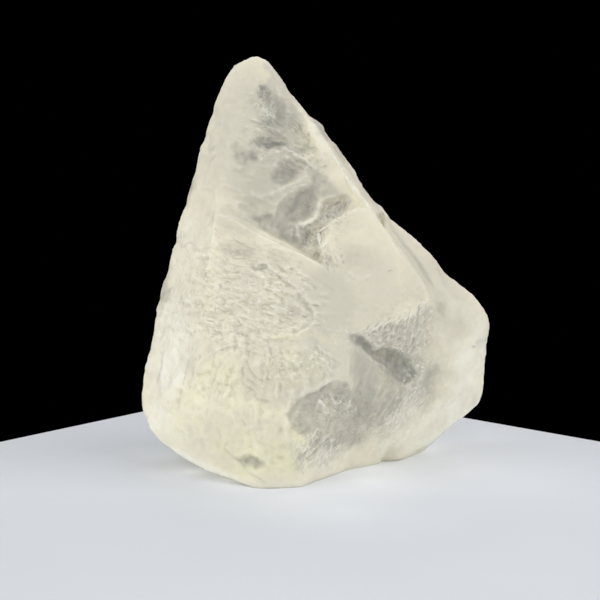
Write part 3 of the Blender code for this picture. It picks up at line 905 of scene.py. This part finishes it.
def weather(surface, shift):
    """Waves, crests and wrinkles everywhere. The crests are lower on the front."""
    for height, wavelength, seed in WEATHERING:
        shift += height * MM * surface.noise(wavelength * MM, seed)
    rough = smooth(-0.1, 0.35, surface.noise(6.0 * MM, 77.7)) * (1 - 0.6 * surface.front)
    crests = 1 - 2 * np.abs(surface.noise(1.5 * MM, 5.5, (1, 1, 2.2)))
    shift += CRESTS * rough * crests
    uneven = smooth(-0.5, 0.4, surface.noise(2.6 * MM, 66.1))
    wrinkled = 0.35 + strongest(surface.photo, WRINKLED_OVALS) * uneven
    wrinkles = CREST_SHAPE * np.abs(surface.noise(0.55 * MM, 21.7, (1, 1, 1.7))) - 1
    shift += WRINKLES * wrinkled * wrinkles


def store(mesh, name, value):
    layer = mesh.attributes.new(name, "FLOAT", "POINT")
    layer.data.foreach_set("value", value.astype(np.float32))


def stand_out(mesh, shift):
    """How far each corner was moved out beyond its neighbourhood, in metres."""
    ends = np.zeros(len(mesh.edges) * 2, np.int64)
    mesh.edges.foreach_get("vertices", ends)
    near, far = ends.reshape(-1, 2).T
    size = len(shift)
    count = np.bincount(near, minlength=size) + np.bincount(far, minlength=size)
    level = shift.copy()
    for _ in range(NEIGHBOURHOOD):
        level = (np.bincount(near, level[far], size) + np.bincount(far, level[near], size)) / count
    return shift - level


def carve(obj):
    """Moves the fine mesh: ledges, hollows and grain on the front, and weathering everywhere."""
    mesh = obj.data
    surface = Surface(mesh)
    shift = np.zeros(len(mesh.vertices))
    for points, drop, reach in LEDGES:
        carve_ledge(surface, shift, points, drop, reach)
    for points, height, width in RIDGES:
        carve_ridge(surface, shift, points, height, width)
    for number, patch in enumerate(GRAINS):
        carve_grain(surface, shift, *patch, 7.3 * number)
    carve_scoops(surface, shift)
    draw = random.Random(5)
    for patch in CHIPPED:
        carve_chips(surface, shift, draw, *patch)
    carve_side(surface, shift)
    for middle, halves, turn, height in NUDGES:
        shift += height * MM * in_oval(surface.photo, middle, halves, turn)
    weather(surface, shift)
    store(mesh, "relief", np.clip(0.5 + stand_out(mesh, shift) / RELIEF_RANGE, 0, 1))
    moved = surface.places + surface.normals * shift[:, None]
    moved[surface.places[:, 2] < FLAT_BASE, 2] = 0.0
    set_places(mesh, moved)


def strongest(points, ovals):
    """The strongest oval's value at each point."""
    value = np.zeros(len(points))
    for middle, halves, turn, strength in ovals:
        value = np.maximum(value, strength * in_oval(points, middle, halves, turn))
    return value


def strongest_area(surface, points, areas):
    """The same for areas, on the front alone."""
    value = np.zeros(len(points))
    for corners, strength in areas:
        value = np.maximum(value, strength * in_area(points, corners, MARK_EDGE))
    return value * surface.front


def strongest_line(surface, lines):
    """The same for lines."""
    value = np.zeros(len(surface.places))
    for points, width, strength in lines:
        add_line(surface, value, curve(points), strength, width, 2.0)
    return value


def find_clear(surface, points, ragged):
    """How clear the stone is: listed parts on the front, and soft veils on the sides and the back."""
    mottled = surface.noise(0.9 * MM, 47.9)
    clear = strongest(points, CLEAR_OVALS) * (1 + 0.5 * mottled)
    for corners, strength, softness in CLEAR_AREAS:
        strayed = surface.photo + (surface.warp + ragged) * min(2.5, softness / 2)
        area = in_area(strayed, corners, softness)
        clear = np.maximum(clear, strength * area * (1 + 0.2 * mottled))
    veils = smooth(0.05, 0.5, surface.noise(7.0 * MM, 91.1))
    return np.maximum(clear * surface.front, VEILS * veils * (1 - surface.front))


def mark(obj):
    """Stores at each corner of the mesh what the stone is like, and where light and shade are painted, for its
    material.
    """
    mesh = obj.data
    surface = Surface(mesh)
    ragged = surface.waver(0.7 * MM, 61.7, 23.3)
    points = surface.photo + surface.warp * MARK_WARP + ragged * MARK_WARP
    clear = find_clear(surface, points, ragged)
    # Lines of white: milky lines, and painted highlights, glints and light.
    milk_and_highlights = strongest_line(surface, WHITE_AND_HIGHLIGHT_LINES)
    values = {
        "clear": clear * (1 - WHITE_LINES_HIDE * milk_and_highlights),
        # White: milky stone, and painted highlights and light.
        "white": np.maximum(strongest(points, WHITE_AND_LIT_OVALS), milk_and_highlights),
        "crease": strongest_line(surface, CREASES),
        "yellow": strongest(points, YELLOW_OVALS),
        # Darker colour, partly painted shade.
        "darkened": strongest(points, DARKER_OVALS),
        "wrinkled": strongest(points, WRINKLED_OVALS),
        "steep": strongest(points, STEEP_OVALS),
        "laced": strongest_area(surface, points, LACED_AREAS),
        # Painted glints.
        "painted_glints": strongest_area(surface, points, GLINT_AREAS),
    }
    for name, value in values.items():
        store(mesh, name, value)


class Nodes:
    """A short way to add nodes to a material and join them."""

    def __init__(self, material):
        material.use_nodes = True
        self.tree = material.node_tree
        self.shader = self.tree.nodes["Principled BSDF"]

    def join(self, source, target):
        self.tree.links.new(source, target)

    def attribute(self, name):
        made = self.tree.nodes.new("ShaderNodeAttribute")
        made.attribute_name = name
        return made.outputs["Fac"]

    def texture(self, kind, scale, location=(0, 0, 0), turn=0.0):
        """A texture node that is scaled, moved and turned about the y axis by this many degrees."""
        mapping = self.tree.nodes.new("ShaderNodeMapping")
        mapping.vector_type = "TEXTURE"
        mapping.inputs["Scale"].default_value = scale
        mapping.inputs["Location"].default_value = location
        mapping.inputs["Rotation"].default_value = (0, math.radians(turn), 0)
        place = self.tree.nodes.new("ShaderNodeTexCoord")
        self.join(place.outputs["Object"], mapping.inputs["Vector"])
        made = self.tree.nodes.new(kind)
        self.join(mapping.outputs["Vector"], made.inputs["Vector"])
        return made

    def noise(self, wavelength, detail=3.0, stretch=(1, 1, 1), turn=0.0):
        made = self.texture("ShaderNodeTexNoise", [1 / share for share in stretch], turn=turn)
        made.inputs["Scale"].default_value = 1 / wavelength
        made.inputs["Detail"].default_value = detail
        return made.outputs["Fac"]

    def wrinkles(self, wavelength, stretch, turn):
        """1, apart from narrow creases that fall to 0 and run one way."""
        waves = self.math("SUBTRACT", self.noise(wavelength, 2.0, stretch, turn), 0.5)
        return self.map(self.math("ABSOLUTE", waves, 0.0), 0.0, 1.0, 0.0, 0.07)

    def blob(self, place, radius):
        """1 at a place, falling to 0 at the radius."""
        made = self.texture("ShaderNodeTexGradient", (radius, radius, radius), place)
        made.gradient_type = "QUADRATIC_SPHERE"
        return made.outputs["Fac"]

    def fill(self, socket, value):
        """Joins an output to an input, or sets the input to a constant."""
        if hasattr(value, "links"):
            self.join(value, socket)
        else:
            socket.default_value = (*value, 1) if isinstance(value, tuple) else value

    def math(self, operation, first, second):
        made = self.tree.nodes.new("ShaderNodeMath")
        made.operation = operation
        self.fill(made.inputs[0], first)
        self.fill(made.inputs[1], second)
        return made.outputs["Value"]

    def times(self, first, second):
        return self.math("MULTIPLY", first, second)

    def rest(self, value):
        """What a value lacks to 1."""
        return self.math("SUBTRACT", 1.0, value)

    def mix(self, share, first, second):
        made = self.tree.nodes.new("ShaderNodeMix")
        made.data_type = "RGBA"
        self.fill(made.inputs["Factor"], share)
        self.fill(made.inputs[6], first)
        self.fill(made.inputs[7], second)
        return made.outputs[2]

    def cover(self, below, share, paint):
        """Lays a paint, which is a colour and how fully it covers, over the colour below."""
        colour, strength = paint
        return self.mix(self.times(share, strength), below, colour)

    def map(self, value, low, high, from_low=0.0, from_high=1.0):
        """Maps a value from one range onto another."""
        made = self.tree.nodes.new("ShaderNodeMapRange")
        limits = {"From Min": from_low, "From Max": from_high, "To Min": low, "To Max": high}
        for name, limit in limits.items():
            made.inputs[name].default_value = limit
        self.join(value, made.inputs["Value"])
        return made.outputs["Result"]


def paint_stone(nodes, patches, clear):
    """The colour of the stone before that of its surface, with painted light in the white and painted shade in
    the darker and the clear parts.
    """
    clouds = nodes.map(nodes.noise(3 * MM, 4.0), 0.0, 1.0, 0.4, 0.7)
    colour = nodes.mix(nodes.attribute("yellow"), CREAM, YELLOW)
    colour = nodes.cover(colour, patches, MOTTLES)
    # White: milky stone, and painted highlights and light.
    colour = nodes.cover(colour, nodes.attribute("white"), MILK_AND_PAINTED_LIGHT)
    colour = nodes.cover(colour, clouds, CLOUDS)
    # Darker colour, partly painted shade.
    colour = nodes.cover(colour, nodes.attribute("darkened"), DARKENING)
    # Clear parts are greyed by a painted shade for the dark that shows through them.
    return nodes.cover(colour, clear, SEEN_THROUGH_SHADE)


def find_creased(nodes, patches):
    """The finest wrinkles, which run across, but downwards in the steep ovals."""
    across = nodes.wrinkles(0.8 * MM, (0.4, 1, 1), 20)
    down = nodes.wrinkles(0.8 * MM, (1, 1, 0.35), 14)
    steep = nodes.times(nodes.attribute("steep"), nodes.math("SUBTRACT", down, across))
    wrinkled = nodes.times(nodes.attribute("wrinkled"), patches)
    return nodes.times(nodes.rest(nodes.math("ADD", across, steep)), wrinkled)


def calcite():
    material = bpy.data.materials.new("milky_calcite")
    nodes = Nodes(material)
    shader = nodes.shader
    streaks = nodes.noise(0.5 * MM, 3.0, (1, 1, 0.15), 22)
    patches = nodes.map(nodes.noise(1.6 * MM), 0.2, 1.0, 0.4, 0.6)
    threads = nodes.rest(nodes.wrinkles(0.6 * MM, (1, 1, 0.35), 32))
    lace = nodes.times(threads, nodes.attribute("laced"))
    gaps = nodes.times(nodes.rest(threads), nodes.attribute("laced"))
    glint_pattern = nodes.map(nodes.noise(0.45 * MM, 3.0, (0.6, 1, 1), 25), 0.0, 1.0, 0.57, 0.63)
    clear = nodes.times(nodes.attribute("clear"), nodes.map(streaks, 0.65, 1.25, 0.35, 0.6))
    clear = nodes.times(clear, nodes.rest(nodes.times(lace, 0.9)))
    creased = find_creased(nodes, patches)
    relief = nodes.attribute("relief")

    colour = paint_stone(nodes, patches, clear)
    colour = nodes.cover(colour, creased, WRINKLE_SHADE)
    colour = nodes.cover(colour, nodes.map(relief, 1.0, 0.0, 0.12, 0.48), HOLLOW_SHADE)
    colour = nodes.cover(colour, nodes.map(relief, 0.0, 1.0, 0.54, 0.95), CREST_LIGHT)
    colour = nodes.cover(colour, gaps, GAP_SHADE)
    colour = nodes.cover(colour, lace, LACE)
    # Painted shade in creases and small hollows, and dark lines.
    colour = nodes.cover(colour, nodes.attribute("crease"), CREASE_SHADE)
    # Painted glints.
    colour = nodes.cover(colour, nodes.times(glint_pattern, nodes.attribute("painted_glints")), PAINTED_GLINTS)
    nodes.join(colour, shader.inputs["Base Color"])

    polish = nodes.times(clear, 0.3)
    rough = nodes.math("SUBTRACT", nodes.map(nodes.noise(1.2 * MM), 0.6, 0.85), polish)
    nodes.join(rough, shader.inputs["Roughness"])
    nodes.join(nodes.map(clear, 0.1, 0.6), shader.inputs["Transmission Weight"])
    shader.inputs["IOR"].default_value = 1.6
    shader.inputs["Subsurface Weight"].default_value = 0.5
    shader.inputs["Subsurface Radius"].default_value = (1.0, 0.9, 0.7)
    shader.inputs["Subsurface Scale"].default_value = 2.5 * MM

    grain = nodes.math("ADD", nodes.noise(0.4 * MM, 3.0, (1, 1, 0.6)), nodes.times(streaks, 0.6))
    height = nodes.math("SUBTRACT", nodes.times(grain, 0.4), nodes.times(creased, 0.8))
    height = nodes.math("ADD", height, nodes.times(lace, 0.7))
    bump = nodes.tree.nodes.new("ShaderNodeBump")
    bump.inputs["Strength"].default_value = 1.0
    bump.inputs["Distance"].default_value = BUMP
    nodes.join(height, bump.inputs["Height"])
    nodes.join(bump.outputs["Normal"], shader.inputs["Normal"])
    return material


def pale_floor():
    material = bpy.data.materials.new("pale_floor")
    nodes = Nodes(material)
    shade = nodes.mix(nodes.noise(20 * MM), *FLOOR_SHADES)
    nodes.join(shade, nodes.shader.inputs["Base Color"])
    nodes.shader.inputs["Roughness"].default_value = 0.6
    glow = 0.0
    # A painted glow of light on the floor.
    for (x, y), radius, strength in FLOOR_GLOW:
        blob = nodes.blob((x * MM, y * MM, 0), radius * MM)
        glow = nodes.math("ADD", nodes.times(blob, strength), glow)
    nodes.join(glow, nodes.shader.inputs["Emission Strength"])
    nodes.shader.inputs["Emission Color"].default_value = GLOW_COLOUR
    return material


def stage():
    left = FLOOR_LEFT * FLOOR_SIDE
    right = FLOOR_RIGHT * FLOOR_SIDE
    corners = [FLOOR_CORNER, FLOOR_CORNER + left, FLOOR_CORNER + left + right, FLOOR_CORNER + right]
    mesh = bpy.data.meshes.new("floor")
    mesh.from_pydata(corners, [], [(0, 1, 2, 3)])
    floor = add_object("floor", mesh)
    floor.data.materials.append(pale_floor())


def lamp(name, place, size, watts):
    light = bpy.data.lights.new(name, "AREA")
    light.shape = "SQUARE"
    light.size = size
    light.energy = watts
    obj = add_object(name, light)
    obj.location = place
    obj.rotation_euler = (LAMPS_AIM - Vector(place)).to_track_quat("-Z", "Y").to_euler()
    obj.visible_camera = False


def lights():
    """A black world, and the lamps."""
    world = bpy.data.worlds.new("dark")
    bpy.context.scene.world = world
    world.use_nodes = True
    world.node_tree.nodes["Background"].inputs["Color"].default_value = (0.0, 0.0, 0.0, 1)
    for name, (place, size, watts) in LAMPS.items():
        lamp(name, place, size, watts)


def camera():
    data = bpy.data.cameras.new("camera")
    data.lens = LENS_MM
    data.sensor_width = SENSOR_MM
    data.clip_start = CLIP_START
    obj = add_object("camera", data)
    obj.location = CAMERA_PLACE
    obj.rotation_euler = (math.radians(90) - CAMERA_ELEVATION, 0, 0)
    bpy.context.scene.camera = obj


point = copy_solid()
refine(point)
carve(point)
thin(point)
mark(point)
point.data.materials.append(calcite())
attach(point, "root")
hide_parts(CRYSTAL)
stage()
lights()
camera()
bpy.context.scene.view_settings.view_transform = "Standard"
